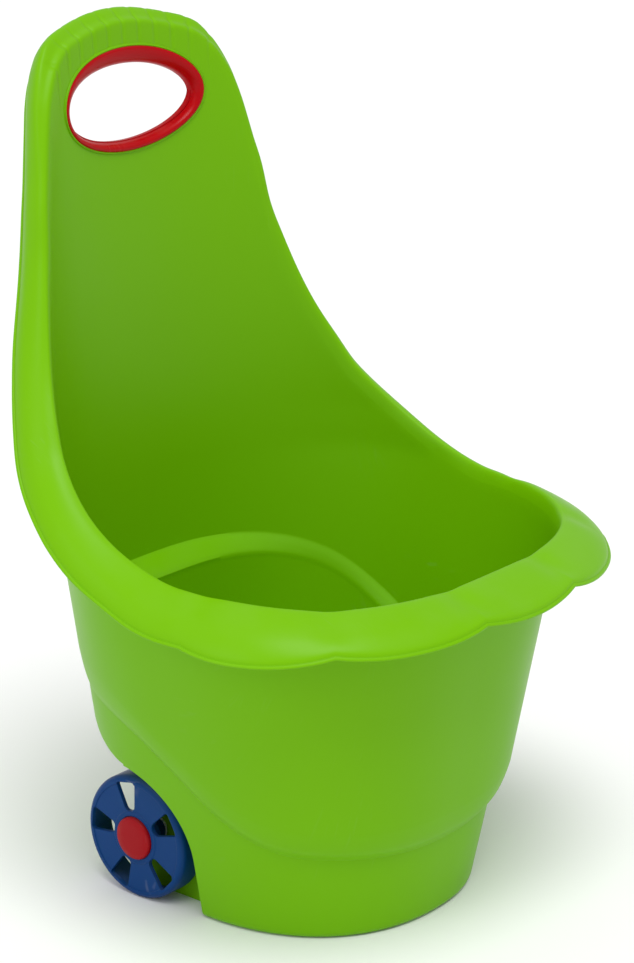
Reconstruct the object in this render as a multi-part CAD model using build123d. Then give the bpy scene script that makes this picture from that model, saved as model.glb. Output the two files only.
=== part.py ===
from build123d import *
import math
import os

# Child's garden cart: a one-piece moulded tub whose back wall rises into a panel with a hand hole,
# a rolled rim with petals, a two-part grip liner and two wheels on a steel axle at the rear.
# Front is -Y, up is +Z, X = 0 is the plane of symmetry. Millimetres.

# ---- tub: upper wall --------------------------------------------------------------------------
WALL = 3.2                    # wall thickness of the moulding
Y_SHIFT = -9.84              # moves the drawing frame so that the overall box is centred on Y = 0
CENTRE_Y = 12.0               # centre that plan angles are measured about
RIM_Z = 262.0                 # height of the rim at the front
SHOULDER_Z = 268.0            # height where the back wall turns into the panel
RIM_HALF_W = 169.0            # half width of the wall at the rim
RIM_FRONT_Y = -150.0          # front of the wall at the rim
BACK_Y = 165.0                # back of the wall at the shoulder
SIDE_TAPER = 0.197            # inward taper of the sides, per millimetre down
FRONT_TAPER = 0.132           # inward taper of the front
BACK_LEAN = 0.041             # lean of the back wall and the panel
PANEL_HALF_W = 171.0          # half width of the half-oval that the panel is cut from
SQUARE_RIM, SQUARE_LOW = 2.8, 2.49          # superellipse power of the front half, rim and ground
SQUARE_BACK = 2.35            # superellipse power of the rear half

# ---- tub: lower body ----------------------------------------------------------------------------
BASE_HALF_W, BASE_SIDE = 110.6, 0.195       # half width at the ground and its growth with height
BASE_FRONT_Y, BASE_FRONT = -107.6, -0.147
BASE_BACK_Y, BASE_BACK = 142.0, 0.018
BASE_SQUARE, BASE_SQUARE_RISE = 2.236, 0.00215
BASE_SQUARE_BACK = 2.87
BASE_TOP_Z = 230.0            # the lower body is drawn up to here and cut off at the crease
FLOOR = 4.0                   # thickness of the floor
BASE_EDGE_R = 5.0             # rounding of the bottom edge
HEEL_Y = 82.0                 # rear wall of the lower body, between the wheels
OVERHANG_Z = 103.5            # underside of the overhang behind that wall
POCKET_X = 93.0               # flat side wall of each wheel pocket
ARCH_R = 58.0                 # radius of the wheel arch
HEEL_R = 12.0                 # rounding between the heel and the overhang

# plan angle and height of the crease between the lower body and the upper wall, outside and inside
CREASE = ((0, 61), (45, 66), (60, 71), (75, 87), (90, 112), (105, 136), (120, 150), (140, 157), (180, 172))
LEDGE = ((0, 68), (45, 74), (60, 80), (75, 97), (90, 123), (105, 149), (124, 177), (145, 190), (180, 192))
CREASE_RISE = 24.0            # height over which the upper wall curves in to the crease
LEDGE_RISE = 13.0             # height of the ledge inside
LEDGE_SPARE = 0.4             # extra wall thickness at the crease
CREASE_PROUD = 0.3            # how far the crease's edge stands proud of the lower body
CREASE_LAP = 2.5              # overlap of the lower body into the upper wall
WALL_FOOT, BASE_FOOT = 0.35, 0.25           # heights in the curve of the two surfaces it blends between
KNEE = 0.62                   # share of the upper wall in the middle of the curve

# ---- tub: rolled rim ------------------------------------------------------------------------------
ROLL_T = 3.0                  # thickness of the rolled edge
LIP_DROP = 0.6                # how much lower the inner corner of the lip is
CROWN_PANEL, CROWN_RIM = 10.0, 0.3           # rise of the roll's top above the crest, panel and rim
# points of the roll, as shares of its reach, drop and crown, on the petals and on the panel
ROLL_TOP, ROLL_SHOULDER = (0.35, 0.13, 1.0), (0.72, 0.46, 0.6)
PANEL_TOP, PANEL_SHOULDER = (0.35, 0.05, 1.0), (0.72, 0.38, 0.6)
PETALS_END = 82               # plan angle where the petals' shape ends
INNER_BEND, OUTER_BEND = 9.0, 14.0          # distance below the crest where the wall starts to bend over
CROWN_FROM = 150              # plan angle from which the crown is the panel's
STEEPEST = 0.34               # limit on the slope of the crest, keeps the bends inside the wall
PETAL_OUT, PETAL_DOWN = 3.0, 4.5            # how far a petal stands out and hangs down
VALLEYS = (-16.0, 16.0, 45.0, 71.0)         # plan angles of the valleys between petals
# plan angle, height of the crest, outward reach and drop of the roll
CREST = ((0, 259, 38, 15.5), (16, 259, 37, 15.5), (31, 260, 34, 18), (45, 261, 34, 21), (58, 263, 35, 24),
         (71, 265, 33, 26.5), (80, 266, 31, 26), (90, 274, 28, 25),
         (99, 286, 28, 24), (109, 306, 28, 22), (117, 328, 28, 22), (122, 350, 27, 21), (127, 374, 26, 20),
         (131, 398, 25, 20), (135, 427, 23, 20), (138, 452, 22, 20), (140, 480, 21, 20), (142, 500, 21, 20),
         (145, 530, 22, 20), (148, 551, 24, 20), (153, 570, 27, 19), (160, 582, 30, 18), (180, 592, 32, 18))
STATIONS = (0, 6, 11, 16, 20.5, 25.5, 30.5, 35.5, 40.5, 45, 49, 53.5, 58, 62.5, 67, 71, 75, 80, 85, 90,
            94.5, 99, 104, 109, 113, 117, 119.5, 122, 127, 131, 135, 138, 140, 142, 145, 148, 153, 160,
            170, 180)

# ---- hand hole and grip liner ---------------------------------------------------------------------
HOLE_Z = 539.0
HOLE_A, HOLE_B = 67.0, 33.5   # half axes of the opening in the panel
BOSS_T, BOSS_DEPTH = 2.4, 4.5               # collar behind the panel that the liner sits in
LINER_GAP = 0.3               # gap between the liner and the hole
THROAT_Z = 536.0              # the liner is thicker at the top, where the hand grips
THROAT_A, THROAT_B = 63.0, 27.0             # half axes of its opening
SLEEVE_T = 2.4                # wall of its rear part, that the rear half plugs into
LIP, LIP_T = 3.0, 1.8         # width and thickness of the liner's lip on the face of the panel
PLUG_T, PLUG_GAP, PLUG_DEPTH = 1.2, 0.15, 3.5   # spigot of the rear half

# ---- wheels and axle --------------------------------------------------------------------------------
AXLE_Y, AXLE_Z, AXLE_D = 69.0, 45.5, 8.0
AXLE_END_X = 114.6
CHANNEL_H = 13.0              # height of the groove that the axle lies in
SNAP = 1.4                    # how much narrower than the axle the saddle's mouth is
SADDLES_X = (-78.0, 0.0, 78.0)              # ribs that hold the axle in its groove
SADDLE_T = 14.0
WHEEL_R = 45.5
WHEEL_OUT_X, WHEEL_IN_X, HUB_IN_X = 117.0, 96.0, 95.0
TREAD_T, FACE_T, EDGE_R = 3.2, 3.6, 4.5
HUB_R, HUB_BARREL_R, RECESS_X = 17.5, 9.5, 111.5
RUNNING_CLEARANCE = 0.06      # radial, hub on axle
SPOKES = 5
WINDOW_IN_R, WINDOW_OUT_R = 19.5, 40.5
WINDOW_IN_HALF, WINDOW_OUT_HALF = 4.0, 9.0  # half widths of a window at its two ends
WINDOW_TURN = 12.0            # turn of the first window from the top
WINDOW_CORNER_R = 2.0
WASHER_T, WASHER_R = 1.6, 9.0
CAP_R, CAP_RISE, CAP_T, CAP_FIT = 15.6, 2.6, 2.2, 0.05
NUT_R, NUT_T = 8.0, 1.0


def table(rows, angle, column=1):
    """Value of a table's column at a plan angle, straight between its rows."""
    for low, high in zip(rows, rows[1:]):
        if angle <= high[0]:
            share = (angle - low[0]) / (high[0] - low[0])
            return low[column] + share * (high[column] - low[column])
    return rows[-1][column]


def upper_plan(z, inset=0.0):
    """Half width, front, back and the two powers of the upper wall's section at height z."""
    drop = max(SHOULDER_Z - z, 0.0)
    rise = min(max(z - SHOULDER_Z, 0.0) / 30.0, 1.0)
    half = RIM_HALF_W - SIDE_TAPER * drop + (PANEL_HALF_W - RIM_HALF_W) * rise
    front = RIM_FRONT_Y + FRONT_TAPER * max(RIM_Z - z, 0.0)
    back = BACK_Y + BACK_LEAN * (z - SHOULDER_Z)
    power = SQUARE_RIM - (SQUARE_RIM - SQUARE_LOW) * drop / SHOULDER_Z
    return half - inset, front + inset, back - inset, power, SQUARE_BACK


def base_plan(z, inset=0.0):
    """The same for the lower body."""
    half = BASE_HALF_W + BASE_SIDE * z
    front = BASE_FRONT_Y + BASE_FRONT * z
    back = BASE_BACK_Y + BASE_BACK * z
    return half - inset, front + inset, back - inset, BASE_SQUARE + BASE_SQUARE_RISE * z, BASE_SQUARE_BACK


def plan_point(plan, angle):
    """Point of a section at a plan angle: 0 is the front, 90 the +X side, 180 the back."""
    half, front, back, power_front, power_back = plan
    depth, power = (CENTRE_Y - front, power_front) if abs(angle) <= 90.0 else (back - CENTRE_Y, power_back)
    s = math.sin(math.radians(angle))
    c = math.cos(math.radians(angle))
    reach = (abs(s / half) ** power + abs(c / depth) ** power) ** (-1.0 / power)
    return Vector(reach * s, CENTRE_Y - reach * c)


def on_wall(plan_at, angle, z, inset=0.0):
    """Point of a wall at a plan angle and a height."""
    p = plan_point(plan_at(z, inset), angle)
    return Vector(p.X, p.Y, z)


def crest_point(angle):
    """Point of the rim's crest, on the outer face of the wall."""
    return on_wall(upper_plan, angle, table(CREST, angle), WALL * 0.5)


def roll_frame(angle):
    """Directions at the crest: along the edge, out of the tub, and from the edge into the wall."""
    step = 1.5
    low, high = max(angle - step, 0.0), min(angle + step, 180.0)
    along = (crest_point(high) - crest_point(low)).normalized()
    if angle in (0, 180):
        along = Vector(1 if angle == 0 else -1, 0, 0)
    z = table(CREST, angle)
    side = (on_wall(upper_plan, high, z) - on_wall(upper_plan, low, z)).normalized()
    if angle in (0, 180):
        side = along
    outward = Vector(side.Y, -side.X, 0)
    inward = along.cross(outward).normalized()
    return along, outward, inward


def petal(angle):
    """0 in a valley between two petals, 1 in the middle of a petal, 0 behind the last valley."""
    for low, high in zip(VALLEYS, VALLEYS[1:]):
        if low <= angle <= high:
            return math.sin(math.pi * (angle - low) / (high - low)) ** 2
    return 0.0


def rim_section(angle):
    """Closed outline of the upper wall and its rolled rim at one plan angle."""
    along, outward, inward = roll_frame(angle)
    top = table(CREST, angle)
    crease = table(CREASE, angle)
    ledge = table(LEDGE, angle)
    reach = table(CREST, angle, 2) + PETAL_OUT * petal(angle)
    drop = table(CREST, angle, 3) + PETAL_DOWN * petal(angle)
    level = max(math.hypot(along.X, along.Y), STEEPEST)
    crown = CROWN_PANEL if angle > CROWN_FROM else CROWN_RIM
    crest = crest_point(angle)
    inner_bend = top - INNER_BEND / level
    outer_bend = top - OUTER_BEND / level

    def roll(out, down):
        return crest + outward * out + inward * down

    def roll_point(shares, under=0.0):
        out, down, rise = shares
        return roll(out * reach, down * drop - rise * crown + under)

    roll_top, shoulder = (ROLL_TOP, ROLL_SHOULDER) if angle < PETALS_END else (PANEL_TOP, PANEL_SHOULDER)
    inner_low = on_wall(base_plan, angle, ledge, WALL + LEDGE_SPARE)
    inner_step = on_wall(upper_plan, angle, ledge + LEDGE_RISE, WALL)
    inner_mid = on_wall(upper_plan, angle, (ledge + LEDGE_RISE + inner_bend) / 2, WALL)
    inner_top = on_wall(upper_plan, angle, inner_bend, WALL)
    lip = roll(reach, drop)
    lip_under = roll(reach - ROLL_T, drop + LIP_DROP)
    outer_top = on_wall(upper_plan, angle, outer_bend)
    outer_mid = on_wall(upper_plan, angle, (crease + CREASE_RISE + outer_bend) / 2)
    outer_low = on_wall(upper_plan, angle, crease + CREASE_RISE)
    wall_foot = on_wall(upper_plan, angle, crease + WALL_FOOT * CREASE_RISE)
    base_foot = on_wall(base_plan, angle, crease + BASE_FOOT * CREASE_RISE)
    curve_in = wall_foot * KNEE + base_foot * (1 - KNEE)
    crease_out = on_wall(base_plan, angle, crease, -CREASE_PROUD)
    crease_in = on_wall(base_plan, angle, crease + 1.0, WALL + LEDGE_SPARE)
    edges = [
        Line(crease_in, inner_low),
        Spline(inner_low, (inner_low + inner_step) * 0.5, inner_step),
        Spline(inner_step, inner_mid, inner_top),
        Spline(inner_top, roll(1.0, -0.4), roll_point(roll_top), roll_point(shoulder), lip),
        Line(lip, lip_under),
        Spline(lip_under, roll_point(shoulder, ROLL_T), roll_point(roll_top, ROLL_T + 0.4), outer_top),
        Spline(outer_top, outer_mid, outer_low),
        Spline(outer_low, curve_in, crease_out),
        Line(crease_out, crease_in),
    ]
    return Wire(edges)


def section_face(plan_at, z, inset=0.0):
    """Full section of the lower body as a face."""
    points = []
    for step in range(36):
        p = plan_point(plan_at(z, inset), -180 + 10 * step)
        points.append((p.X, p.Y, z))
    return Face(Wire(Spline(*points, periodic=True)))


def lower_solid(bottom, inset):
    """Solid inside the lower body's wall, from a height up to where it is cut at the crease."""
    levels = [bottom, 60, 120, 175, BASE_TOP_Z]
    return loft([section_face(base_plan, z, inset) for z in levels])


def axle_bar(x, length, radius):
    """Cylinder along the axle's line, centred on x."""
    return Pos(x, AXLE_Y, AXLE_Z) * Rot(0, 90, 0) * Cylinder(radius, length)


def under_cut(grow):
    """What is taken away under the rear of the lower body: the heel, the arches and the pockets."""
    deep = 400.0
    heel = Pos(0, HEEL_Y - grow + deep / 2, 0) * Box(deep, deep, 2 * (OVERHANG_Z + grow))
    heel = fillet(heel.edges().filter_by(Axis.X).group_by(Axis.Z)[-1].group_by(Axis.Y)[0], HEEL_R)
    cut = heel
    for side in (-1, 1):
        x = side * (POCKET_X - grow + deep / 2)
        arch = axle_bar(x, deep, ARCH_R + grow)
        foot = Pos(x, AXLE_Y + deep / 2 - ARCH_R - grow, 0) * Box(deep, deep, 2 * AXLE_Z)
        rear = Pos(x, AXLE_Y + deep / 2, 0) * Box(deep, deep, 2 * (AXLE_Z + ARCH_R + grow))
        cut = cut + arch + foot + rear
    return cut


def above_crease(lift):
    """Everything above the crease, seen from the side as one outline."""
    beyond = -12.0
    far = 400.0
    rows = [on_wall(base_plan, a, table(CREASE, a) + lift, beyond) for a in range(0, 181, 15)]
    profile = [(-far, rows[0].Z)] + [(p.Y, p.Z) for p in rows] + [(far, rows[-1].Z), (far, far), (-far, far)]
    return extrude(Plane.YZ * make_face(Polyline(*profile, close=True)), far, both=True)


def slot_block(x, length, start_y, end_y, height):
    """Bar with a round front end, along the axle's groove."""
    bar = Pos(x, (start_y + end_y) / 2, AXLE_Z) * Box(length, end_y - start_y, height)
    return bar + Pos(x, start_y, AXLE_Z) * Rot(0, 90, 0) * Cylinder(height / 2, length)


def axle_seat():
    """What the lower body gains round the axle's groove, and what is then cut out of it."""
    width = 2 * POCKET_X
    lining = slot_block(0, width, AXLE_Y, HEEL_Y - 1, CHANNEL_H + 2 * WALL)
    groove = slot_block(0, 2 * width, AXLE_Y, HEEL_Y + WALL, CHANNEL_H)
    ribs = [slot_block(x, SADDLE_T, AXLE_Y, HEEL_Y - 2, CHANNEL_H + 1)
            - slot_block(x, SADDLE_T + 2, AXLE_Y, HEEL_Y + WALL, AXLE_D - SNAP) for x in SADDLES_X]
    return lining, groove, ribs


def oval(grow):
    """Long oval prism along Y on the hand hole's outline, grown by a distance."""
    return extrude(Plane.XZ.offset(-300) * Pos(0, HOLE_Z) * Ellipse(HOLE_A + grow, HOLE_B + grow), 200)


def panel_slab(front, back):
    """Space between two surfaces parallel to the panel's front face, by their distances behind it."""
    def face_line(distance):
        line = []
        for x in (-90, -60, -30, 0, 30, 60, 90):
            half, depth = PANEL_HALF_W - WALL, BACK_Y + BACK_LEAN * (HOLE_Z - SHOULDER_Z) - WALL - CENTRE_Y
            share = (1 - abs(x / half) ** SQUARE_BACK) ** (1 / SQUARE_BACK)
            line.append((x, CENTRE_Y + depth * share + distance))
        return Spline(*line)
    near, far = face_line(front), face_line(back)
    outline = Wire([near, Line(near @ 1, far @ 1), far, Line(far @ 0, near @ 0)])
    slab = extrude(Pos(0, 0, -120) * Face(outline), 240)
    lean = -math.degrees(math.atan(BACK_LEAN))
    return Pos(0, 0, HOLE_Z) * Rot(lean, 0, 0) * slab


def tub():
    """The moulding: upper wall with its rim, lower body, floor, axle groove and hand hole."""
    half = Solid.make_loft([rim_section(a) for a in STATIONS], ruled=True)
    body = fillet(lower_solid(0, 0).faces().sort_by(Axis.Z)[0].edges(), BASE_EDGE_R) - under_cut(0)
    body = body - (lower_solid(FLOOR, WALL) - under_cut(WALL)) - above_crease(CREASE_LAP)
    lining, groove, ribs = axle_seat()
    body = body + lining - groove
    for rib in ribs:
        body = body + rib
    body = body - axle_bar(0, 300, AXLE_D / 2)
    whole = half + mirror(half, about=Plane.YZ) + body
    boss = (oval(BOSS_T) - oval(0)) & panel_slab(0.5 * WALL, WALL + BOSS_DEPTH)
    seat = oval(LIP + LINER_GAP) & panel_slab(-2 * LIP_T, 0)
    return (whole - oval(0) - seat) + boss


def throat():
    """Oval prism along Y on the opening through the liner."""
    return extrude(Plane.XZ.offset(-300) * Pos(0, THROAT_Z) * Ellipse(THROAT_A, THROAT_B), 200)


def liner_front():
    """Front half of the grip liner: a lip on the panel's face and a padded sleeve through the hole."""
    back = WALL + BOSS_DEPTH
    lip = oval(LIP) & panel_slab(-LIP_T, -0.05)
    sleeve = oval(-LINER_GAP) & panel_slab(-LIP_T, back)
    socket = oval(-LINER_GAP - SLEEVE_T) & panel_slab(back - PLUG_DEPTH - PLUG_GAP, back + 1)
    return lip + sleeve - throat() - socket


def liner_back():
    """Rear half: a flange behind the boss and a spigot that plugs into the front half's socket."""
    outer = -LINER_GAP - SLEEVE_T - PLUG_GAP
    back = WALL + BOSS_DEPTH
    flange = (oval(BOSS_T) - oval(outer - PLUG_T)) & panel_slab(back + 0.05, back + LIP_T)
    spigot = (oval(outer) - oval(outer - PLUG_T)) & panel_slab(back - PLUG_DEPTH, back + LIP_T)
    return flange + spigot


def turned(points, side):
    """Solid turned about the axle's line from an outline of (distance along X, radius) points."""
    face = make_face(Polyline(*[(side * x, r) for x, r in points], close=True))
    return Pos(0, AXLE_Y, AXLE_Z) * revolve(face, Axis.X)


def wheel(side):
    """Wheel with a thin tread wall, a spoked face and a hub, open at the back."""
    out, back, face = WHEEL_OUT_X, WHEEL_IN_X, WHEEL_OUT_X - FACE_T
    inner_r, tip = WHEEL_R - TREAD_T, EDGE_R
    shape = turned([(back, inner_r), (back, WHEEL_R - 1), (back + 1, WHEEL_R), (out - tip, WHEEL_R),
                    (out - 0.3 * tip, WHEEL_R - 0.3 * tip), (out, WHEEL_R - tip), (out, CAP_R + CAP_FIT),
                    (RECESS_X, CAP_R + CAP_FIT), (RECESS_X, AXLE_D / 2 + RUNNING_CLEARANCE),
                    (HUB_IN_X, AXLE_D / 2 + RUNNING_CLEARANCE), (HUB_IN_X, HUB_BARREL_R),
                    (RECESS_X - FACE_T, HUB_BARREL_R), (RECESS_X - FACE_T, HUB_R), (face, HUB_R + 1),
                    (face, inner_r)], side)
    corners = [(WINDOW_IN_R, -WINDOW_IN_HALF), (WINDOW_OUT_R, -WINDOW_OUT_HALF),
               (WINDOW_OUT_R, WINDOW_OUT_HALF), (WINDOW_IN_R, WINDOW_IN_HALF)]
    for number in range(SPOKES):
        centre = math.radians(90 + side * WINDOW_TURN + number * 360 / SPOKES)
        outline = [(r * math.cos(centre) - t * math.sin(centre), r * math.sin(centre) + t * math.cos(centre))
                   for r, t in corners]
        window = extrude(Plane.YZ.offset(side * (face - 1)) * make_face(Polyline(*outline, close=True)),
                         side * (FACE_T + 2))
        window = fillet(window.edges().filter_by(Axis.X), WINDOW_CORNER_R)
        shape = shape - Pos(0, AXLE_Y, AXLE_Z) * window
    return shape


def hub_cap(side):
    """Domed cap with a skirt that snaps into the recess in the hub."""
    rim_x = WHEEL_OUT_X + 0.4
    return turned([(RECESS_X + 0.1, CAP_R), (rim_x, CAP_R), (rim_x + 0.7 * CAP_RISE, CAP_R - 2.2),
                   (rim_x + CAP_RISE, 0.6 * CAP_R), (rim_x + CAP_RISE, 0), (rim_x + CAP_RISE - CAP_T, 0),
                   (rim_x + CAP_RISE - CAP_T, CAP_R - CAP_T), (RECESS_X + 0.1, CAP_R - CAP_T)], side)


def washer(side):
    """Plain washer between the wheel and the wall of its pocket."""
    inner = AXLE_D / 2 + 0.1
    return turned([(POCKET_X, inner), (POCKET_X, WASHER_R), (POCKET_X + WASHER_T, WASHER_R),
                   (POCKET_X + WASHER_T, inner)], side)


def push_nut(side):
    """Domed spring-steel nut pressed on the end of the axle."""
    start = RECESS_X + 0.15
    return turned([(start, NUT_R - 2), (start, NUT_R), (start + NUT_T, NUT_R), (start + NUT_T, NUT_R - 2),
                   (start + 0.6 * NUT_T, AXLE_D / 2), (start, AXLE_D / 2)], side)


def axle():
    """Steel rod with chamfered ends."""
    rod = axle_bar(0, 2 * AXLE_END_X, AXLE_D / 2)
    return chamfer(rod.edges().filter_by(GeomType.CIRCLE), 0.6)


nodes = {"tub_shell": tub(), "axle": axle()}
nodes["grip_liner_front"] = liner_front()
nodes["grip_liner_back"] = liner_back()
for name, side in (("right", -1), ("left", 1)):
    nodes["wheel_" + name] = wheel(side)
    nodes["hub_cap_" + name] = hub_cap(side)
    nodes["washer_" + name] = washer(side)
    nodes["push_nut_" + name] = push_nut(side)

os.makedirs("parts", exist_ok=True)
for name, shape in nodes.items():
    export_step(Pos(0, Y_SHIFT, 0) * shape, "parts/" + name + ".step")
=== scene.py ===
import math

import bmesh
import bpy
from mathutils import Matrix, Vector


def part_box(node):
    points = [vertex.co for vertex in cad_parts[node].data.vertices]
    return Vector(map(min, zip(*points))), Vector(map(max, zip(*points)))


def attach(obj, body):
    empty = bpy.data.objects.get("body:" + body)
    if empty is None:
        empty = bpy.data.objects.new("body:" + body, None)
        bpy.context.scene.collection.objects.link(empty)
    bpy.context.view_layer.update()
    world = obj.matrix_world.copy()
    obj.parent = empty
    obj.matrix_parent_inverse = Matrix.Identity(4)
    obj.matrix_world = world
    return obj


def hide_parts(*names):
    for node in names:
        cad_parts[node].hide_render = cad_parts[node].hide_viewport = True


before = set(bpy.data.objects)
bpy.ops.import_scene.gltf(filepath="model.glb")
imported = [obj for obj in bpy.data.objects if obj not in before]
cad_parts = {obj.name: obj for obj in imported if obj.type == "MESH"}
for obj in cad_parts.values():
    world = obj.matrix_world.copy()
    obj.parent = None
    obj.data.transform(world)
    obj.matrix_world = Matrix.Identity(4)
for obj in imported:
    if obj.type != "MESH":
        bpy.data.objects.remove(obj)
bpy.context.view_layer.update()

# ---- tub ------------------------------------------------------------------------------------------
# The green body of the cart: bucket, panel, rolled rim with petals and wheel pockets in one piece.
# It is injection-moulded polypropylene about 3 mm thick, with a satin face and a faint grain.
# The drawing of the tub is in millimetres, with its own zero in Y; to_frame() turns it into metres.

MM = 0.001
WALL = 3.2
CENTRE_Y = 12.0
RIM_Z, SHOULDER_Z = 262.0, 268.0
RIM_HALF_W, RIM_FRONT_Y, BACK_Y = 169.0, -150.0, 165.0
SIDE_TAPER, FRONT_TAPER, BACK_LEAN = 0.197, 0.132, 0.041
PANEL_GROWTH, PANEL_RISE = 2.0, 30.0
SQUARE_RIM, SQUARE_LOW, SQUARE_BACK = 2.8, 2.49, 2.35
BASE_HALF_W, BASE_SIDE = 110.6, 0.195
BASE_FRONT_Y, BASE_FRONT = -107.6, -0.147
BASE_BACK_Y, BASE_BACK = 142.0, 0.018
BASE_SQUARE, BASE_SQUARE_RISE, BASE_SQUARE_BACK = 2.236, 0.00215, 2.87
FLOOR, BASE_EDGE_R = 4.0, 5.0
HEEL_Y = 82.0
OVERHANG_Z, OVERHANG_R = 104.0, 28.0
OVERHANG_FROM, OVERHANG_TO = 112.0, 140.0
POCKET_X, ARCH_R = 93.0, 58.0
AXLE_Y, AXLE_Z, AXLE_D = 69.0, 45.5, 8.0
CHANNEL_H, SADDLE_T, SADDLES_X = 13.0, 14.0, (-78.0, 0.0, 78.0)

# plan angle and height of the crease outside and of the ledge inside
CREASE = ((0, 61), (45, 66), (60, 71), (75, 87), (90, 112), (105, 136), (120, 150), (140, 157), (180, 172))
LEDGE = ((0, 68), (45, 74), (60, 80), (75, 97), (90, 123), (105, 149), (124, 177), (145, 190), (180, 192.5))
CREASE_RISE, LEDGE_RISE = 24.0, 13.0
SEAM = 0.05                   # least step between two faces that would otherwise lie in one place
CREASE_PROUD, CREASE_LAP = 0.3, 3.0
LEDGE_LAP, LEDGE_BULGE = 4.0, 0.6
WALL_FOOT, BASE_FOOT, KNEE = 0.35, 0.25, 0.62
INNER_BEND, HANDLE_TIGHTER, OUTER_BEND, STEEPEST = 9, 4, 14, 0.34
# plan angle where the panel and the handle begin, and the angle over which each comes in fully
PANEL_FROM, PANEL_RAMP = 84, 30
HANDLE_FROM, HANDLE_RAMP = 142, 14
CROWN_RIM, CROWN_HANDLE = 0.3, 9.7
# the roll's top and shoulder, as shares of its reach and of its drop
TOP_OUT, TOP_DOWN, SHOULDER_OUT, SHOULDER_DOWN, PANEL_LIFT = 0.35, 0.13, 0.72, 0.46, 0.08
# plan angle, height of the crest, outward reach and drop of the roll
CREST = ((0, 259, 38, 15.5), (16, 259, 37, 15.5), (31, 260, 34, 18), (45, 261, 34, 21), (58, 263, 35, 24),
         (71, 265, 33, 26.5), (80, 266, 31, 26), (90, 274, 28, 25),
         (99, 286, 28, 24), (109, 306, 28, 22), (117, 328, 28, 22), (122, 350, 27, 21), (127, 374, 26, 20),
         (131, 398, 25, 20), (135, 427, 23, 20), (138, 452, 22, 20), (140, 480, 21, 20), (142, 500, 21, 20),
         (145, 530, 22, 20), (148, 551, 24, 20), (153, 570, 27, 19), (160, 582, 30, 18), (180, 592, 32, 18))
VALLEYS = (-71.0, -45.0, -16.0, 16.0, 45.0, 71.0)
PETAL_OUT, PETAL_DOWN = 3.0, 4.5
VALLEY_DEPTH, VALLEY_ANGLE = 2.2, 3.6
ROLL_T, BEAD_OUT, BEAD_H = 3.0, 1.8, 2.6
GROOVE_PITCH, GROOVE_DEPTH, GROOVE_HALF_W, GRIP_HALF_W = 15.5, 1.0, 1.7, 82.0
HOLE_Z, HOLE_A, HOLE_B = 539.0, 67.0, 33.5
BOSS_T, BOSS_DEPTH = 2.4, 4.5
COLLAR, COLLAR_W = 2.8, 1.9

axle_low, axle_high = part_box("axle")
axle_centre = (axle_low + axle_high) / 2


def to_frame(point):
    """A point of the drawing in the frame's metres: the axle's place fixes the shift in Y."""
    return Vector((point[0] * MM, axle_centre.y + (point[1] - AXLE_Y) * MM, point[2] * MM))


def at_angle(rows, angle, column=1):
    """Value of a table's column at a plan angle, on a smooth curve through its rows."""
    angle = abs((angle + 180.0) % 360.0 - 180.0)
    first = max(i for i, row in enumerate(rows[:-1]) if row[0] <= angle)

    def slope(i):
        if i in (0, len(rows) - 1):
            return 0.0
        return (rows[i + 1][column] - rows[i - 1][column]) / (rows[i + 1][0] - rows[i - 1][0])

    low, high = rows[first], rows[first + 1]
    span = high[0] - low[0]
    t = (angle - low[0]) / span
    lift = t * t * (3 - 2 * t)
    bend = t * (1 - t) ** 2 * span * slope(first) - t * t * (1 - t) * span * slope(first + 1)
    return low[column] + lift * (high[column] - low[column]) + bend


def upper_plan(z, inset=0.0):
    """Half width, front, back and the two powers of the upper wall's section at height z."""
    drop = max(SHOULDER_Z - z, 0.0)
    rise = min(max(z - SHOULDER_Z, 0.0) / PANEL_RISE, 1.0)
    half = RIM_HALF_W - SIDE_TAPER * drop + PANEL_GROWTH * rise
    front = RIM_FRONT_Y + FRONT_TAPER * max(RIM_Z - z, 0.0)
    back = BACK_Y + BACK_LEAN * (z - SHOULDER_Z)
    power = SQUARE_RIM - (SQUARE_RIM - SQUARE_LOW) * drop / SHOULDER_Z
    return half - inset, front + inset, back - inset, power, SQUARE_BACK


def base_plan(z, inset=0.0):
    """The same for the lower body."""
    half = BASE_HALF_W + BASE_SIDE * z
    front = BASE_FRONT_Y + BASE_FRONT * z
    back = BASE_BACK_Y + BASE_BACK * z
    return half - inset, front + inset, back - inset, BASE_SQUARE + BASE_SQUARE_RISE * z, BASE_SQUARE_BACK


def on_wall(plan_at, angle, z, inset=0.0):
    """Point of a wall at a plan angle (0 is the front, 90 the +X side) and a height."""
    half, front, back, power_front, power_back = plan_at(z, inset)
    c = math.cos(math.radians(angle))
    s = math.sin(math.radians(angle))
    depth, power = (CENTRE_Y - front, power_front) if c >= 0 else (back - CENTRE_Y, power_back)
    reach = (abs(s / half) ** power + abs(c / depth) ** power) ** (-1.0 / power)
    return Vector((reach * s, CENTRE_Y - reach * c, z))


def panel_y(x, z, behind=0.0):
    """Y of the panel's front face at a place on it, plus a distance behind it."""
    half, _, back, _, power = upper_plan(z, WALL)
    return CENTRE_Y + (back - CENTRE_Y) * (1 - abs(x / half) ** power) ** (1 / power) + behind


def petal(angle):
    """0 in a valley between two petals, 1 in the middle of a petal, 0 behind the last valley."""
    for low, high in zip(VALLEYS, VALLEYS[1:]):
        if low <= angle <= high:
            return 1 - abs(2 * (angle - low) / (high - low) - 1) ** 2.2
    return 0.0


def spaced(first, last, count):
    """Evenly spaced values from first to last."""
    return [first + (last - first) * i / (count - 1) for i in range(count)]


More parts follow.
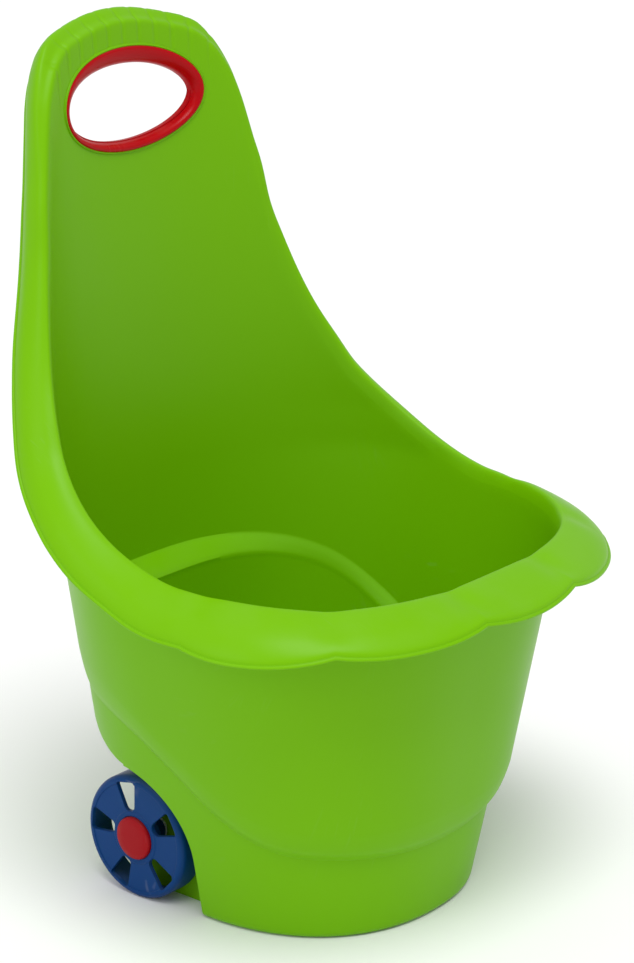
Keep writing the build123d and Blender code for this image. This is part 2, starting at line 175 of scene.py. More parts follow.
def curve(points, count):
    """Points on a smooth curve from the second given point to the last but one, count to a span."""
    made = []
    for a, b, c, d in zip(points, points[1:], points[2:], points[3:]):
        knots = [0.0]
        for p, q in ((a, b), (b, c), (c, d)):
            knots.append(knots[-1] + max((q - p).length, 1e-6) ** 0.5)
        t0, t1, t2, t3 = knots
        for i in range(count):
            t = t1 + (t2 - t1) * i / count
            ab = a + (b - a) * ((t - t0) / (t1 - t0))
            bc = b + (c - b) * ((t - t1) / (t2 - t1))
            cd = c + (d - c) * ((t - t2) / (t3 - t2))
            low = ab + (bc - ab) * ((t - t0) / (t2 - t0))
            high = bc + (cd - bc) * ((t - t1) / (t3 - t1))
            made.append(low + (high - low) * ((t - t1) / (t2 - t1)))
    return made + [points[-2]]


def rim_outline(angle):
    """Closed outline of the upper wall and its rolled rim at one plan angle, from the crease round."""
    def crest_at(a):
        return on_wall(upper_plan, a, at_angle(CREST, a), WALL * 0.5)

    step = 1.5                    # degrees to each side, to find which way the crest runs
    top = at_angle(CREST, angle)
    crease, ledge = at_angle(CREASE, angle), at_angle(LEDGE, angle)
    crest = crest_at(angle)
    along = (crest_at(angle + step) - crest_at(angle - step)).normalized()
    side = (on_wall(upper_plan, angle + step, top) - on_wall(upper_plan, angle - step, top)).normalized()
    outward = Vector((side.y, -side.x, 0))
    inward = along.cross(outward).normalized()
    reach = at_angle(CREST, angle, 2) + PETAL_OUT * petal(angle)
    drop = at_angle(CREST, angle, 3) + PETAL_DOWN * petal(angle)
    level = max(math.hypot(along.x, along.y), STEEPEST)
    handle = min(max((abs(angle) - HANDLE_FROM) / HANDLE_RAMP, 0.0), 1.0)
    panel = min(max((abs(angle) - PANEL_FROM) / PANEL_RAMP, 0.0), 1.0)
    crown = CROWN_RIM + CROWN_HANDLE * handle
    inner_bend = top - (INNER_BEND - HANDLE_TIGHTER * handle) / level
    outer_bend = top - OUTER_BEND / level

    def roll(out, down):
        return crest + outward * out + inward * down

    top_down = (TOP_DOWN - PANEL_LIFT * panel) * drop - crown
    shoulder_down = (SHOULDER_DOWN - PANEL_LIFT * panel) * drop - 0.6 * crown
    heights = (ledge + LEDGE_RISE, *spaced(ledge + LEDGE_RISE + 1.0, inner_bend, 22))
    inner = [on_wall(upper_plan, angle, z, WALL) for z in heights]
    outer = [on_wall(upper_plan, angle, z) for z in spaced(outer_bend, crease + CREASE_RISE, 20)]
    over = [inner[-2], inner[-1], roll(1.0 - 1.7 * handle, -0.4 - 0.5 * handle),
            roll(3.6, -0.7 - 3.0 * handle), roll(TOP_OUT * reach, top_down),
            roll(SHOULDER_OUT * reach, shoulder_down),
            roll(reach - BEAD_OUT - 0.5, drop - BEAD_H - 1.8)]
    over = curve(over + [roll(reach - BEAD_OUT, drop)], 8)
    bead = [roll(reach - BEAD_OUT, drop - BEAD_H), roll(reach - 0.9, drop - BEAD_H + 0.1),
            roll(reach - 0.25, drop - 0.7 * BEAD_H), roll(reach, drop - 0.4 * BEAD_H),
            roll(reach - 0.3, drop - 0.1 * BEAD_H), roll(reach - 1.1, drop), roll(reach - 2.8, drop),
            roll(reach - ROLL_T - 0.6, drop - 0.6)]
    under = curve([roll(reach - ROLL_T, drop), roll(reach - ROLL_T - 1.2, drop - 4.0),
                   roll(SHOULDER_OUT * reach, shoulder_down + ROLL_T),
                   roll(0.38 * reach, top_down + ROLL_T + 0.4),
                   outer[0], outer[1]], 7)

    # valleys between the petals, and the finger grooves over the grip, sink the roll towards its core
    core = roll(0.45 * reach, drop)
    valley = sum(math.exp(-(((angle - v) / VALLEY_ANGLE) ** 2)) for v in VALLEYS)
    grip = min(max((GRIP_HALF_W - abs(crest.x)) / 5, 0.0), 1.0) if abs(angle) > 140 else 0.0
    off_groove = ((crest.x / GROOVE_PITCH + 0.5) % 1.0 - 0.5) * GROOVE_PITCH
    groove = GROOVE_DEPTH * grip * math.exp(-((off_groove / GROOVE_HALF_W) ** 2))
    for i, p in enumerate(over):
        share = i / (len(over) - 1)
        fade = min(max((0.75 - share) / 0.45, 0.0), 1.0)
        over[i] = p + (core - p).normalized() * (VALLEY_DEPTH * valley * math.sin(math.pi * share) ** 2
                                                 + groove * fade)
    for i, p in enumerate(under):
        share = i / (len(under) - 1)
        under[i] = p + (core - p).normalized() * VALLEY_DEPTH * valley * math.sin(math.pi * share) ** 2
    for i, p in enumerate(inner):
        share = min(max((p.z - HOLE_Z - HOLE_B - 4) / 4, 0.0), 1.0)
        inner[i] = p + outward * groove * share

    # the ledge comes out of the lower wall at a slant, so that the join leaves no step
    emerge = on_wall(base_plan, angle, ledge - LEDGE_LAP, WALL - 3 * SEAM)
    low = on_wall(base_plan, angle, ledge, WALL + 6 * SEAM)
    bulge = (low + inner[0]) * 0.5 + (inner[0] - low).cross(along).normalized() * LEDGE_BULGE
    ledge_face = [emerge] + curve([emerge, low, bulge, inner[0], inner[1]], 4)
    foot = on_wall(upper_plan, angle, crease + WALL_FOOT * CREASE_RISE) * KNEE
    foot = foot + on_wall(base_plan, angle, crease + BASE_FOOT * CREASE_RISE) * (1 - KNEE)
    crease_out = on_wall(base_plan, angle, crease, -CREASE_PROUD)
    below_crease = on_wall(base_plan, angle, crease - CREASE_LAP)
    shape_in = curve([outer[-2], outer[-1], foot, crease_out, below_crease], 8)
    hidden = [on_wall(base_plan, angle, crease + 0.6, 0.4 * WALL),
              on_wall(base_plan, angle, ledge - 1.5, 0.5 * WALL)]
    return hidden + ledge_face[:-1] + inner[:-1] + over + bead + under[:-1] + outer[:-1] + shape_in


def skin(name, rows, wrap_rows=True, wrap_columns=True):
    """Mesh object with quads between neighbouring rows of points; an open end is closed to its middle."""
    bm = bmesh.new()
    grid = [[bm.verts.new(to_frame(p)) for p in row] for row in rows]
    columns = len(grid[0])
    for a, b in zip(grid, grid[1:] + grid[:1] if wrap_rows else grid[1:]):
        for i in range(columns if wrap_columns else columns - 1):
            j = (i + 1) % columns
            bm.faces.new((a[i], a[j], b[j], b[i]))
    if not wrap_rows:
        for row in (grid[0], grid[-1]):
            middle = bm.verts.new(sum((v.co for v in row), Vector()) / columns)
            for i in range(columns):
                bm.faces.new((row[i], row[(i + 1) % columns], middle))
    bmesh.ops.recalc_face_normals(bm, faces=bm.faces)
    mesh = bpy.data.meshes.new(name)
    bm.to_mesh(mesh)
    bm.free()
    made = bpy.data.objects.new(name, mesh)
    bpy.context.scene.collection.objects.link(made)
    return made


def prism(name, outline, start, end):
    """Solid from an outline of (Y, Z) points of the drawing, between two values of X."""
    rows = [[Vector((x, y, z)) for y, z in outline] for x in (start, end)]
    return skin(name, rows, wrap_rows=False)


def combine(target, tool, operation="DIFFERENCE"):
    """The target after a boolean with the tool, which is used up."""
    modifier = target.modifiers.new("combine", "BOOLEAN")
    modifier.operation = operation
    modifier.solver = "EXACT"
    modifier.object = tool
    bpy.context.view_layer.update()
    evaluated = target.evaluated_get(bpy.context.evaluated_depsgraph_get())
    mesh = bpy.data.meshes.new_from_object(evaluated)
    target.modifiers.clear()
    target.data = mesh
    bpy.data.objects.remove(tool)
    return target


def arc(centre, radius, start, end, count=12):
    """Points on an arc in (Y, Z), angles in degrees from +Y towards +Z."""
    return [(centre[0] + radius * math.cos(math.radians(a)), centre[1] + radius * math.sin(math.radians(a)))
            for a in spaced(start, end, count)]


def lower_body(name, bottom, inset, edge, lap):
    """Solid inside a wall of the lower body, from its rounded bottom up to near the inner ledge.
    The radius of the bottom's rounding is a function of the plan angle."""
    angles = [a * 1.5 - 180 for a in range(240)]
    rows = []
    for bend in spaced(0, 90, 9):
        down, out = 1 - math.cos(math.radians(bend)), 1 - math.sin(math.radians(bend))
        rows.append([on_wall(base_plan, a, bottom + edge(a) * down, inset + edge(a) * out) for a in angles])
    for share in spaced(0, 1, 22)[1:]:
        heights = [(1 - share) * (bottom + edge(a)) + share * (at_angle(LEDGE, a) + lap) for a in angles]
        rows.append([on_wall(base_plan, a, z, inset) for a, z in zip(angles, heights)])
    return skin(name, rows, wrap_rows=False)


def base_edge(angle):
    """Rounding of the bottom edge of the base."""
    return BASE_EDGE_R


def overhang_edge(angle):
    """Rounding under the overhang: it starts behind the wheel and grows towards the back."""
    share = min(max((abs(angle) - OVERHANG_FROM) / (OVERHANG_TO - OVERHANG_FROM), 0.0), 1.0)
    return 0.8 + (OVERHANG_R - WALL) * share * share * (3 - 2 * share)


def lower_solid(name, bottom, inset, lap):
    """The lower body with its heel, its rounded overhang and its two wheel pockets."""
    far, down, roof = 300.0, -20.0, OVERHANG_Z + OVERHANG_R + WALL
    solid = lower_body(name, bottom, inset, base_edge, lap)
    heel = [(HEEL_Y - inset, down), (HEEL_Y - inset, roof), (far, roof), (far, down)]
    solid = combine(solid, prism("heel", heel, -far, far))
    rear = [(AXLE_Y, down), (AXLE_Y, roof), (far, roof), (far, down)]
    for side in (-1, 1):
        solid = combine(solid, prism("rear", rear, side * (POCKET_X - inset), side * far))
    overhang = lower_body("overhang", OVERHANG_Z + inset, inset + SEAM, overhang_edge, lap - SEAM)
    solid = combine(solid, overhang, "UNION")
    radius = ARCH_R + inset
    pocket = [(AXLE_Y - radius, down), *arc((AXLE_Y, AXLE_Z), radius, 180, 90, 32)]
    pocket += [(far, AXLE_Z + radius), (far, down)]
    for side in (-1, 1):
        solid = combine(solid, prism("pocket", pocket, side * (POCKET_X - inset), side * far))
    return solid


def slot_outline(height, end_y):
    """Outline of the axle's groove: a round front end and straight sides to the rear."""
    half = height / 2
    return [*arc((AXLE_Y, AXLE_Z), half, 270, 90), (end_y, AXLE_Z + half), (end_y, AXLE_Z - half)]


stations = [a * 0.25 - 180 for a in range(1440)]
stations = [a for a in stations if abs(a) > 150 or (2 * a).is_integer()]
rim = skin("tub", [rim_outline(a) for a in stations])
body = lower_solid("lower", 0, 0, -0.2)
body = combine(body, lower_solid("inside", FLOOR, WALL, 4.0))
body = combine(body, prism("groove", slot_outline(CHANNEL_H, HEEL_Y + WALL), -1.5 * POCKET_X, 1.5 * POCKET_X))
rim = combine(rim, body, "UNION")
hole = [Vector((HOLE_A * math.sin(t), 0, HOLE_Z + HOLE_B * math.cos(t)))
        for t in spaced(0, 2 * math.pi, 97)[:-1]]
hole_rows = [[p + Vector((0, y, 0)) for p in hole] for y in (100, 300)]
rim = combine(rim, skin("hole", hole_rows, wrap_rows=False))

# the groove's own lining and the three saddles that the axle snaps into
outer_u = slot_outline(CHANNEL_H + 2 * WALL, HEEL_Y - 1)
inner_u = slot_outline(CHANNEL_H, HEEL_Y - 1)
extras = [prism("lining", outer_u[-1:] + outer_u[:-1] + inner_u[-2::-1] + inner_u[-1:],
                -POCKET_X, POCKET_X)]
for x in SADDLES_X:
    saddle = slot_outline(CHANNEL_H + 1, HEEL_Y - 2)
    mouth = slot_outline(AXLE_D, HEEL_Y - 2)
    extras.append(prism("saddle", saddle[-1:] + saddle[:-1] + mouth[-2::-1] + mouth[-1:],
                        x - SADDLE_T / 2, x + SADDLE_T / 2))


def oval_band(name, outline):
    """Ring round the hand hole from (growth of the oval, distance behind the panel) points."""
    rows = []
    for turn in spaced(0, 2 * math.pi, 129)[:-1]:
        row = []
        for grow, behind in outline:
            x = (HOLE_A + grow) * math.sin(turn)
            z = HOLE_Z + (HOLE_B + grow) * math.cos(turn)
            row.append(Vector((x, panel_y(x, z, behind), z)))
        rows.append(row)
    return skin(name, rows)


extras.append(oval_band("boss", [(0, 1.0), (0, WALL + BOSS_DEPTH),
                                 (BOSS_T, WALL + BOSS_DEPTH), (BOSS_T, 1.0)]))
extras.append(oval_band("collar", [(COLLAR, 0.5), (COLLAR, -0.8), (COLLAR + 0.3 * COLLAR_W, -1.3),
                                   (COLLAR + 0.7 * COLLAR_W, -1.0), (COLLAR + COLLAR_W, 0.5)]))


def join(name, objects):
    """One object with the meshes of several."""
    bm = bmesh.new()
    for part in objects:
        bm.from_mesh(part.data)
        bpy.data.objects.remove(part)
    mesh = bpy.data.meshes.new(name)
    bm.to_mesh(mesh)
    bm.free()
    made = bpy.data.objects.new(name, mesh)
    bpy.context.scene.collection.objects.link(made)
    return made


def smooth(piece, sharp=35.0):
    """Smooth shading, except across edges sharper than an angle in degrees."""
    piece.data.polygons.foreach_set("use_smooth", [True] * len(piece.data.polygons))
    piece.data.set_sharp_from_angle(angle=math.radians(sharp))
    return piece


def node(tree, kind, inputs=(), **settings):
    """New shader node; an input is given a value or the socket that feeds it."""
    made = tree.nodes.new(kind)
    for key, value in settings.items():
        setattr(made, key, value)
    for key, value in dict(inputs).items():
        if isinstance(value, bpy.types.NodeSocket):
            tree.links.new(value, made.inputs[key])
        else:
            made.inputs[key].default_value = value
    return made


def group_of(name, inputs, outputs):
    """Empty shader node group with its sockets: (name, type, default) in, (name, type) out."""
    group = bpy.data.node_groups.new(name, "ShaderNodeTree")
    for label, kind, default in inputs:
        group.interface.new_socket(label, in_out="INPUT", socket_type=kind).default_value = default
    for label, kind in outputs:
        group.interface.new_socket(label, in_out="OUTPUT", socket_type=kind)
    return group, group.nodes.new("NodeGroupInput"), group.nodes.new("NodeGroupOutput")


def moulded_grain():
    """Fine grain of a mould's surface, as a height, and the slow wander of its gloss."""
    group, given, result = group_of(
        "moulded_grain", [("Size", "NodeSocketFloat", 900.0)],
        [("Height", "NodeSocketFloat"), ("Gloss", "NodeSocketFloat")])
    place = node(group, "ShaderNodeTexCoord").outputs["Object"]
    fine = node(group, "ShaderNodeTexNoise", {"Vector": place, "Scale": given.outputs["Size"],
                                              "Detail": 3.0, "Roughness": 0.6})
    slow = node(group, "ShaderNodeTexNoise", {"Vector": place, "Scale": 9.0, "Detail": 4.0})
    group.links.new(fine.outputs["Fac"], result.inputs["Height"])
    group.links.new(slow.outputs["Fac"], result.inputs["Gloss"])
    return group


def tone_drift():
    """A colour whose brightness and hue wander slightly, as pigment does in a moulding."""
    group, given, result = group_of(
        "tone_drift",
        [("Color", "NodeSocketColor", (0.5, 0.5, 0.5, 1.0)), ("Amount", "NodeSocketFloat", 0.05)],
        [("Color", "NodeSocketColor")])
    place = node(group, "ShaderNodeTexCoord").outputs["Object"]
    cloud = node(group, "ShaderNodeTexNoise", {"Vector": place, "Scale": 6.0, "Detail": 5.0,
                                               "Distortion": 0.6})
    centred = node(group, "ShaderNodeMath", {0: cloud.outputs["Fac"], 1: 0.5}, operation="SUBTRACT")
    swing = node(group, "ShaderNodeMath", {0: centred.outputs[0], 1: given.outputs["Amount"]},
                 operation="MULTIPLY")
    value = node(group, "ShaderNodeMath", {0: swing.outputs[0], 1: 1.0}, operation="ADD")
    hue = node(group, "ShaderNodeMath", {0: swing.outputs[0], 1: 0.06, 2: 0.5}, operation="MULTIPLY_ADD")
    shifted = node(group, "ShaderNodeHueSaturation", {"Hue": hue.outputs[0], "Value": value.outputs[0],
                                                      "Color": given.outputs["Color"]})
    group.links.new(shifted.outputs["Color"], result.inputs["Color"])
    return group


def scuffs():
    """Mask of short rubbed scratches in patches, 0 where the surface is untouched."""
    group, given, result = group_of(
        "scuffs", [("Amount", "NodeSocketFloat", 0.5)], [("Mask", "NodeSocketFloat")])
    place = node(group, "ShaderNodeTexCoord").outputs["Object"]
    turned_place = node(group, "ShaderNodeMapping", {"Vector": place, "Rotation": (0.3, 0.9, 0.5),
                                                     "Scale": (900.0, 60.0, 45.0)})
    lines = node(group, "ShaderNodeTexNoise", {"Vector": turned_place.outputs[0], "Scale": 1.0,
                                               "Detail": 2.0})
    sharp = node(group, "ShaderNodeMapRange", {"Value": lines.outputs["Fac"], "From Min": 0.63,
                                               "From Max": 0.72})
    patch = node(group, "ShaderNodeTexNoise", {"Vector": place, "Scale": 14.0, "Detail": 3.0})
    where = node(group, "ShaderNodeMapRange", {"Value": patch.outputs["Fac"], "From Min": 0.52,
                                               "From Max": 0.72})
    both = node(group, "ShaderNodeMath", {0: sharp.outputs[0], 1: where.outputs[0]}, operation="MULTIPLY")
    scaled = node(group, "ShaderNodeMath", {0: both.outputs[0], 1: given.outputs["Amount"]},
                  operation="MULTIPLY", use_clamp=True)
    group.links.new(scaled.outputs[0], result.inputs["Mask"])
    return group


def settled_dust():
    """Mask of thin dust on faces that look up, thicker in clouds."""
    group, given, result = group_of(
        "settled_dust", [("Amount", "NodeSocketFloat", 0.3)], [("Mask", "NodeSocketFloat")])
    place = node(group, "ShaderNodeTexCoord")
    up = node(group, "ShaderNodeSeparateXYZ", {0: place.outputs["Normal"]})
    facing = node(group, "ShaderNodeMapRange", {"Value": up.outputs["Z"], "From Min": 0.35,
                                                "From Max": 1.0})
    cloud = node(group, "ShaderNodeTexNoise", {"Vector": place.outputs["Object"], "Scale": 30.0,
                                               "Detail": 6.0})
    thick = node(group, "ShaderNodeMapRange", {"Value": cloud.outputs["Fac"], "From Min": 0.42,
                                               "From Max": 0.75})
    both = node(group, "ShaderNodeMath", {0: facing.outputs[0], 1: thick.outputs[0]}, operation="MULTIPLY")
    scaled = node(group, "ShaderNodeMath", {0: both.outputs[0], 1: given.outputs["Amount"]},
                  operation="MULTIPLY")
    group.links.new(scaled.outputs[0], result.inputs["Mask"])
    return group


grain_group, drift_group = moulded_grain(), tone_drift()
scuff_group, dust_group = scuffs(), settled_dust()


def plastic(name, colour, roughness, grain=900.0, bump=0.10, drift=0.06, wear=0.35, dust=0.12,
            round_r=0.0007):
    """Moulded plastic: grain, slow changes of tone and gloss, light scuffs, dust and softened edges."""
    material = bpy.data.materials.new(name)
    material.use_nodes = True
    tree = material.node_tree
    shader = tree.nodes["Principled BSDF"]
    surface = node(tree, "ShaderNodeGroup", node_tree=grain_group)
    surface.inputs["Size"].default_value = grain
    tone = node(tree, "ShaderNodeGroup", node_tree=drift_group)
    tone.inputs["Color"].default_value = (*colour, 1.0)
    tone.inputs["Amount"].default_value = drift
    rubbed = node(tree, "ShaderNodeGroup", node_tree=scuff_group)
    rubbed.inputs["Amount"].default_value = wear
    settled = node(tree, "ShaderNodeGroup", node_tree=dust_group)
    settled.inputs["Amount"].default_value = dust
    pale = tuple(0.75 * c + 0.25 * 0.7 for c in colour)
    worn = node(tree, "ShaderNodeMix", {"Factor": rubbed.outputs["Mask"], 6: tone.outputs["Color"],
                                        7: (*pale, 1.0)}, data_type="RGBA")
    dusty = node(tree, "ShaderNodeMix", {"Factor": settled.outputs["Mask"], 6: worn.outputs[2],
                                         7: (0.55, 0.52, 0.45, 1.0)}, data_type="RGBA")
    tree.links.new(dusty.outputs[2], shader.inputs["Base Color"])
    gloss = node(tree, "ShaderNodeMapRange", {"Value": surface.outputs["Gloss"],
                                              "From Min": 0.3, "From Max": 0.7,
                                              "To Min": roughness - 0.05, "To Max": roughness + 0.05})
    matted = node(tree, "ShaderNodeMath", {0: rubbed.outputs["Mask"], 1: 0.3, 2: gloss.outputs[0]},
                  operation="MULTIPLY_ADD", use_clamp=True)
    tree.links.new(matted.outputs[0], shader.inputs["Roughness"])
    rounded = node(tree, "ShaderNodeBevel", {"Radius": round_r}, samples=4)
    relief = node(tree, "ShaderNodeBump", {"Strength": bump, "Distance": 0.0004,
                                           "Height": surface.outputs["Height"],
                                           "Normal": rounded.outputs["Normal"]})
    tree.links.new(relief.outputs["Normal"], shader.inputs["Normal"])
    shader.inputs["IOR"].default_value = 1.49
    shader.inputs["Specular IOR Level"].default_value = 0.12
    return material


def finish_piece(piece, material, body, slot, *nodes):
    """Smooths a piece, paints it, ties it to its CAD body and hides the CAD nodes it stands in for; the slot
    is not used.
    """
    smooth(piece)
    piece.data.materials.clear()
    piece.data.materials.append(material)
    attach(piece, body)
    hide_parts(*nodes)
    return piece


tub = join("tub", [rim, *extras])
tub_green = plastic("tub_green", (0.160, 0.440, 0.0), 0.36, bump=0.08, drift=0.04, wear=0.07, dust=0.02)
finish_piece(tub, tub_green, "cart", "tub_green", "tub_shell")

# ---- grip liner -----------------------------------------------------------------------------------
# The red lining of the hand hole: a front half whose thin lip lies on the panel and whose sleeve
# runs through the hole, and a rear half that plugs into it behind. Both are gloss mouldings that
# are pushed together from the two sides and hold each other.

LINER_GAP, SLEEVE_T = 0.3, 2.4
LIP, LIP_T = 3.0, 1.8
THROAT_Z, THROAT_A, THROAT_B = 536.0, 63.0, 27.0
PAD_DEPTH = 7.0
PLUG_T, PLUG_GAP, PLUG_DEPTH = 1.2, 0.15, 3.5
back = WALL + BOSS_DEPTH
plug_out = -LINER_GAP - SLEEVE_T - PLUG_GAP
plug_in = plug_out - PLUG_T
grip_red = plastic("grip_red", (0.42, 0.0, 0.003), 0.26, bump=0.05, drift=0.05, wear=0.2, dust=0.04,
                   round_r=0.0004)


def padded_sleeve(name):
    """Front half of the liner: a lip, then a rounded pad that is thickest at the top, and the throat."""
    rows = []
    for turn in spaced(0, 2 * math.pi, 145)[:-1]:
        def around(grow):
            return Vector(((HOLE_A + grow) * math.sin(turn), HOLE_Z + (HOLE_B + grow) * math.cos(turn)))

        throat = Vector((THROAT_A * math.sin(turn), THROAT_Z + THROAT_B * math.cos(turn)))
        front = around(1.0)
        section = [(throat, back), (throat, 0.5 * (back + PAD_DEPTH - LIP_T))]
        for bend in spaced(90, 0, 12):
            out, deep = math.sin(math.radians(bend)), 1 - math.cos(math.radians(bend))
            section.append((front + (throat - front) * out, -LIP_T + PAD_DEPTH * deep))
        section += [(around(2.0), -1.65), (around(2.7), -1.1), (around(LIP), -0.5), (around(LIP), -0.05)]
        section += [(around(-LINER_GAP), -0.05), (around(-LINER_GAP), back)]
        rows.append([Vector((p.x, panel_y(p.x, p.y, behind), p.y)) for p, behind in section])
    return skin(name, rows)


finish_piece(padded_sleeve("grip_liner_front"), grip_red, "cart", "grip_red", "grip_liner_front")

rear_half = oval_band("grip_liner_back", [
    (plug_in, back - PLUG_DEPTH), (plug_in, back - 0.2), (plug_in + 0.8, back + 0.8),
    (plug_in + 2.2, back + 1.6),
    (0, back + LIP_T), (BOSS_T - 0.6, back + 1.6), (BOSS_T, back + 0.9), (BOSS_T, back + 0.05),
    (plug_out, back + 0.05), (plug_out, back - PLUG_DEPTH)])
finish_piece(rear_half, grip_red, "cart", "grip_red", "grip_liner_back")

# ---- wheels ---------------------------------------------------------------------------------------
# Two blue wheels, each one moulding: a thin tread wall with a rounded outer edge, a face with five
# rounded windows between the spokes, and a hub barrel. They turn freely on the axle.

SEGMENTS = 144
WHEEL_R, WHEEL_OUT_X, WHEEL_IN_X, HUB_IN_X = 45.5, 117.0, 96.0, 95.0
TREAD_T, FACE_T, EDGE_R = 3.2, 3.6, 4.5
HUB_R, HUB_BARREL_R, RECESS_X = 17.5, 9.5, 111.5
BORE_R = 4.06
CAP_R = 15.6
SPOKES, WINDOW_TURN = 5, 12.0
WINDOW_IN_R, WINDOW_OUT_R, WINDOW_BEND = 19.5, 40.8, 4.0
WINDOW_IN_HALF, WINDOW_OUT_HALF = 4.0, 9.2


def turned(name, outline, side):
    """Solid turned about the axle's line from a closed outline of (distance along X, radius)."""
    rows = []
    for turn in spaced(0, 2 * math.pi, SEGMENTS + 1)[:-1]:
        c, s = math.cos(turn), math.sin(turn)
        rows.append([Vector((side * x, AXLE_Y + r * c, AXLE_Z + r * s)) for x, r in outline])
    return skin(name, rows)


def window_outline(centre):
    """Rounded window between two spokes, as (Y, Z) points; centre is its angle in degrees."""
    along = Vector((math.cos(math.radians(centre)), math.sin(math.radians(centre))))
    across = Vector((-along.y, along.x))
    hub = Vector((AXLE_Y, AXLE_Z))
    corners = [hub + along * r + across * t for r, t in (
        (WINDOW_IN_R, -WINDOW_IN_HALF), (WINDOW_OUT_R, -WINDOW_OUT_HALF),
        (WINDOW_OUT_R, WINDOW_OUT_HALF), (WINDOW_IN_R, WINDOW_IN_HALF))]
    points = []
    for before, corner, after in zip(corners[-1:] + corners[:-1], corners, corners[1:] + corners[:1]):
        start = corner + (before - corner).normalized() * WINDOW_BEND * 0.9
        end = corner + (after - corner).normalized() * WINDOW_BEND * 0.9
        for t in spaced(0, 1, 7):
            points.append(start * (1 - t) ** 2 + corner * 2 * t * (1 - t) + end * t * t)
    return points


wheel_blue = plastic("wheel_blue", (0.002, 0.043, 0.175), 0.40, bump=0.16, drift=0.10,
                     wear=0.8, dust=0.10)
for side, hand in ((-1, "right"), (1, "left")):
    shoulder = arc((WHEEL_OUT_X - EDGE_R, WHEEL_R - EDGE_R), EDGE_R, 90, 0, 9)
    inner_r = WHEEL_R - TREAD_T
    face = WHEEL_OUT_X - FACE_T
    outline = [(WHEEL_IN_X, inner_r + 0.6), (WHEEL_IN_X, WHEEL_R - 1.0), (WHEEL_IN_X + 1.0, WHEEL_R)]
    outline += [(WHEEL_IN_X + 8, WHEEL_R), *shoulder, (WHEEL_OUT_X, WHEEL_R - EDGE_R - 1)]
    outline += [(WHEEL_OUT_X - 0.5, WINDOW_OUT_R - 1.0), (WHEEL_OUT_X - 0.6, HUB_R + 2.4)]
    outline += [(WHEEL_OUT_X, HUB_R + 1.6)]
    outline += [(WHEEL_OUT_X, CAP_R + 0.5), (WHEEL_OUT_X - 0.4, CAP_R + 0.05), (RECESS_X, CAP_R + 0.05)]
    outline += [(RECESS_X, BORE_R), (HUB_IN_X, BORE_R), (HUB_IN_X, HUB_BARREL_R - 0.5)]
    outline += [(HUB_IN_X + 0.5, HUB_BARREL_R), (RECESS_X - FACE_T, HUB_BARREL_R)]
    outline += [(RECESS_X - FACE_T, HUB_R), (face, HUB_R + 1), (face, inner_r)]
    wheel = turned("wheel_" + hand, outline, side)
    for number in range(SPOKES):
        centre = 90 + side * WINDOW_TURN + number * 360 / SPOKES
        cutter = prism("window", window_outline(centre), side * (face - 2), side * (WHEEL_OUT_X + 2))
        wheel = combine(wheel, cutter)
    finish_piece(wheel, wheel_blue, "wheel_" + hand, "wheel_blue", "wheel_" + hand)

# ---- hub caps -------------------------------------------------------------------------------------
# A red plastic cap on each hub hides the end of the axle. It is a low dome with a rounded edge and
# a skirt that snaps into the recess of the hub, a little duller and coarser than the grip liner.

CAP_RISE, CAP_T = 2.6, 2.2
cap_red = plastic("cap_red", (0.33, 0.002, 0.008), 0.34, grain=500.0, bump=0.22, drift=0.12,
                  wear=0.6, dust=0.08, round_r=0.0004)
rim_x = WHEEL_OUT_X + 0.4
for side, hand in ((-1, "right"), (1, "left")):
    dome = arc((rim_x + 0.2, CAP_R - 2.0), 2.0, 80, 20, 6)
    outline = [(RECESS_X + 0.1, CAP_R), (rim_x - 0.2, CAP_R), *dome, (rim_x + 2.45, 0.62 * CAP_R)]
    outline += [(rim_x + CAP_RISE, 0.35 * CAP_R), (rim_x + CAP_RISE, 0.02), (rim_x + CAP_RISE - CAP_T, 0.02)]
    outline += [(rim_x + CAP_RISE - CAP_T, CAP_R - CAP_T), (RECESS_X + 0.1, CAP_R - CAP_T)]
    cap = turned("hub_cap_" + hand, outline, side)
    finish_piece(cap, cap_red, "wheel_" + hand, "grip_red", "hub_cap_" + hand)

# ---- axle, washers and push nuts ------------------------------------------------------------------
# The axle is a drawn steel rod with chamfered ends. A nylon washer keeps each wheel off the tub,
# and a stamped spring-steel nut is pushed on each end. They keep their CAD shapes.


def metal(name, colour, roughness, streak):
    """Steel with fine streaks along the axle, uneven gloss and some dulling."""
    material = bpy.data.materials.new(name)
    material.use_nodes = True
    tree = material.node_tree
    shader = tree.nodes["Principled BSDF"]
    place = node(tree, "ShaderNodeTexCoord").outputs["Object"]
    long_way = node(tree, "ShaderNodeMapping", {"Vector": place, "Scale": (20.0, streak, streak)})
    lines = node(tree, "ShaderNodeTexNoise", {"Vector": long_way.outputs[0], "Scale": 1.0, "Detail": 5.0})
    tone = node(tree, "ShaderNodeGroup", node_tree=drift_group)
    tone.inputs["Color"].default_value = (*colour, 1.0)
    tone.inputs["Amount"].default_value = 0.25
    tree.links.new(tone.outputs["Color"], shader.inputs["Base Color"])
    gloss = node(tree, "ShaderNodeMapRange", {"Value": lines.outputs["Fac"], "From Min": 0.3, "From Max": 0.7,
                                              "To Min": roughness - 0.1, "To Max": roughness + 0.12})
    tree.links.new(gloss.outputs[0], shader.inputs["Roughness"])
    relief = node(tree, "ShaderNodeBump", {"Strength": 0.2, "Distance": 0.0001,
                                           "Height": lines.outputs["Fac"]})
    tree.links.new(relief.outputs["Normal"], shader.inputs["Normal"])
    shader.inputs["Metallic"].default_value = 1.0
    return material


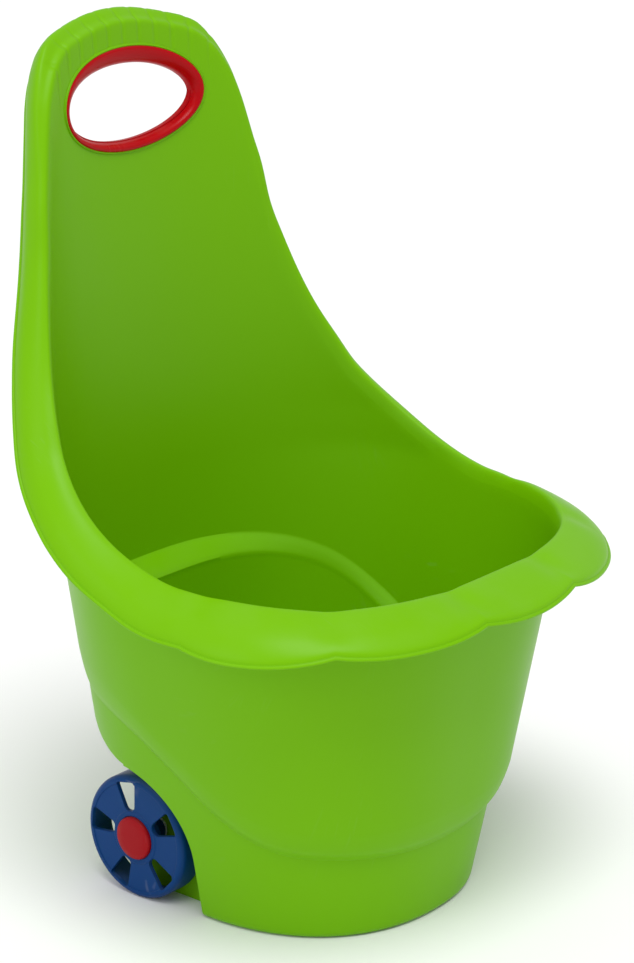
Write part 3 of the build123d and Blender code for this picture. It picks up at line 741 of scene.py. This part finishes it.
steel = metal("steel", (0.60, 0.60, 0.61), 0.30, 4000.0)
spring_steel = metal("spring_steel", (0.35, 0.35, 0.37), 0.38, 2500.0)
nylon = plastic("washer_white", (0.75, 0.75, 0.72), 0.45, drift=0.08, round_r=0.0003)
for name, material, slot in (("axle", steel, "steel"), ("push_nut_right", spring_steel, "spring_steel"),
                             ("push_nut_left", spring_steel, "spring_steel"),
                             ("washer_right", nylon, "washer_white"), ("washer_left", nylon, "washer_white")):
    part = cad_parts[name]
    part.data.materials.clear()
    part.data.materials.append(material)
    smooth(part)

# ---- floor, light and camera ------------------------------------------------------------------------
# A plain pale floor under an even white surround, with one broad light high in front and a weaker
# one at the cart's right side, as in a studio.

FLOOR_HALF = 15.0
floor_mesh = bpy.data.meshes.new("floor")
bm = bmesh.new()
bmesh.ops.create_grid(bm, x_segments=4, y_segments=4, size=FLOOR_HALF)
bm.to_mesh(floor_mesh)
bm.free()
floor = bpy.data.objects.new("floor", floor_mesh)
bpy.context.scene.collection.objects.link(floor)
pale = bpy.data.materials.new("floor_pale")
pale.use_nodes = True
pale.node_tree.nodes["Principled BSDF"].inputs["Base Color"].default_value = (0.90, 0.90, 0.90, 1.0)
pale.node_tree.nodes["Principled BSDF"].inputs["Roughness"].default_value = 0.9
pale.node_tree.nodes["Principled BSDF"].inputs["Specular IOR Level"].default_value = 0.1
floor_mesh.materials.append(pale)

world = bpy.data.worlds.new("studio")
world.use_nodes = True
world.node_tree.nodes["Background"].inputs["Color"].default_value = (1.0, 1.0, 1.0, 1.0)
world.node_tree.nodes["Background"].inputs["Strength"].default_value = 0.62
bpy.context.scene.world = world

SOFTNESS = math.radians(32)     # width of the key light as the cart sees it
FILL_SIZE = 1.4
for name, place, kind, power in (
        ("key", (-0.8, -1.0, 3.6), "SUN", 1.9),
        ("fill_left", (-2.6, 0.3, 1.7), "AREA", 11.0)):
    data = bpy.data.lights.new(name, kind)
    if kind == "SUN":
        data.angle = SOFTNESS
    else:
        data.shape, data.size = "DISK", FILL_SIZE
    data.energy = power
    light = bpy.data.objects.new(name, data)
    light.location = place
    light.rotation_euler = (Vector((0, 0, 0.3)) - Vector(place)).to_track_quat("-Z", "Y").to_euler()
    bpy.context.scene.collection.objects.link(light)

AIM = to_frame((0.0, 0.0, 292.6))
CAMERA_PLACE = to_frame((-1366.8, -1130.7, 852.0))
camera_data = bpy.data.cameras.new("camera")
camera_data.lens = 100.93
camera = bpy.data.objects.new("camera", camera_data)
camera.location = CAMERA_PLACE
camera.rotation_euler = (AIM - CAMERA_PLACE).to_track_quat("-Z", "Y").to_euler()
bpy.context.scene.collection.objects.link(camera)
bpy.context.scene.camera = camera
bpy.context.scene.view_settings.view_transform = "Standard"
